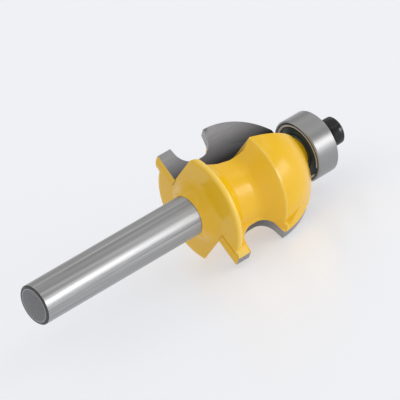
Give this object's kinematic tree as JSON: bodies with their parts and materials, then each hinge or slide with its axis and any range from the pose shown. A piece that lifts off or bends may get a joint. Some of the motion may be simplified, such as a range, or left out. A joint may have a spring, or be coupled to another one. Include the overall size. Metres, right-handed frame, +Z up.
{
  "type": "router bit",
  "caption": "Beading router bit for a hand-held router, with a plain round shank, a coated head with brazed carbide tips, and a ball bearing pilot on the end held by a socket head screw.",
  "frame": {"origin": "centre of the shank's end face", "axes": "+Z up, with the bit at rest on a flat surface; +X from the shank's end towards the pilot bearing, level, so the bit's own axis dips slightly from +X towards the bearing"},
  "size_m": [0.0746, 0.0226, 0.0217],
  "materials": {
    "body_steel": "gloss coating on the head, ground steel on the shank",
    "carbide": "ground",
    "bearing_steel": "ground",
    "shield": "pressed, matt",
    "ball_steel": "polished",
    "cage": "moulded",
    "washer": "zinc plated",
    "black_oxide": "black oxide"
  },
  "bodies": {
    "bit": {"cutter_body": "body_steel", "carbide_tip_1": "carbide", "carbide_tip_2": "carbide", "bearing_inner_ring": "bearing_steel", "flat_washer": "washer", "lock_washer": "washer", "pilot_screw": "black_oxide"},
    "pilot": {"bearing_outer_ring": "bearing_steel", "bearing_shield_rear": "shield", "bearing_shield_front": "shield", "shield_clip_rear": "bearing_steel", "shield_clip_front": "bearing_steel"},
    "ball_set": {"bearing_cage": "cage", "bearing_ball_1": "ball_steel", "bearing_ball_2": "ball_steel", "bearing_ball_3": "ball_steel", "bearing_ball_4": "ball_steel", "bearing_ball_5": "ball_steel", "bearing_ball_6": "ball_steel", "bearing_ball_7": "ball_steel"}
  },
  "joints": [
    {"name": "pilot_spin", "type": "hinge", "parent": "bit", "child": "pilot", "pos_m": [0.06673, 0, -0.00463], "axis": [0.9976, 0, -0.0692], "continuous": true},
    {"name": "ball_set_spin", "type": "hinge", "parent": "bit", "child": "ball_set", "pos_m": [0.06673, 0, -0.00463], "axis": [0.9976, 0, -0.0692], "continuous": true}
  ],
  "couplings": [
    {"joint": "ball_set_spin", "follows": "pilot_spin", "ratio": 0.6364}
  ]
}
